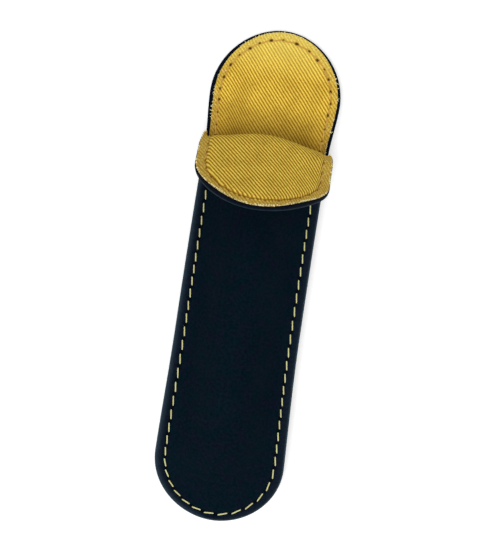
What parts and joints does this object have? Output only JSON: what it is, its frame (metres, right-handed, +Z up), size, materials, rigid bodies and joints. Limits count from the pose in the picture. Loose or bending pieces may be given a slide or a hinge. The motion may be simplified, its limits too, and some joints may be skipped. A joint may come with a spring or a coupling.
{
  "type": "single pen sleeve",
  "caption": "Slim leather sleeve for one pen, lined with yellow twill, with a long rounded tongue behind the mouth and a short flap that folds back over the front or closes over the pen.",
  "frame": {"origin": "on the surface the sleeve lies on, under the middle of its length and width", "axes": "+Y along the sleeve from the closed bottom end to the tongue's tip, +X across it to the right as seen from above the front, +Z up out of the front"},
  "size_m": [0.0458, 0.173, 0.0401],
  "materials": {
    "leather": "smooth blue-black grain leather, semi-matt, with painted edges",
    "lining": "old-gold cotton twill",
    "interlining": "undyed felted stiffening",
    "thread": "waxed cream thread",
    "lining_thread": "tan thread sunk in the twill"
  },
  "bodies": {
    "sleeve": {"back_leather": "leather", "back_interlining": "interlining", "back_lining": "lining", "front_leather": "leather", "front_interlining": "interlining", "front_lining": "lining", "fold_leather": "leather", "fold_lining": "lining", "seam_needle_thread": "thread", "seam_bobbin_thread": "thread", "tongue_needle_thread": "lining_thread", "tongue_bobbin_thread": "thread"},
    "flap": {"flap_leather": "leather", "flap_interlining": "interlining", "flap_lining": "lining", "flap_needle_thread": "lining_thread", "flap_bobbin_thread": "thread"}
  },
  "joints": [
    {"name": "flap_fold", "type": "hinge", "parent": "sleeve", "child": "flap", "pos_m": [0, 0.0434, 0.01765], "axis": [-1, 0, 0], "range_deg": [-40, 160], "deforming": ["fold_leather", "fold_lining"]}
  ]
}
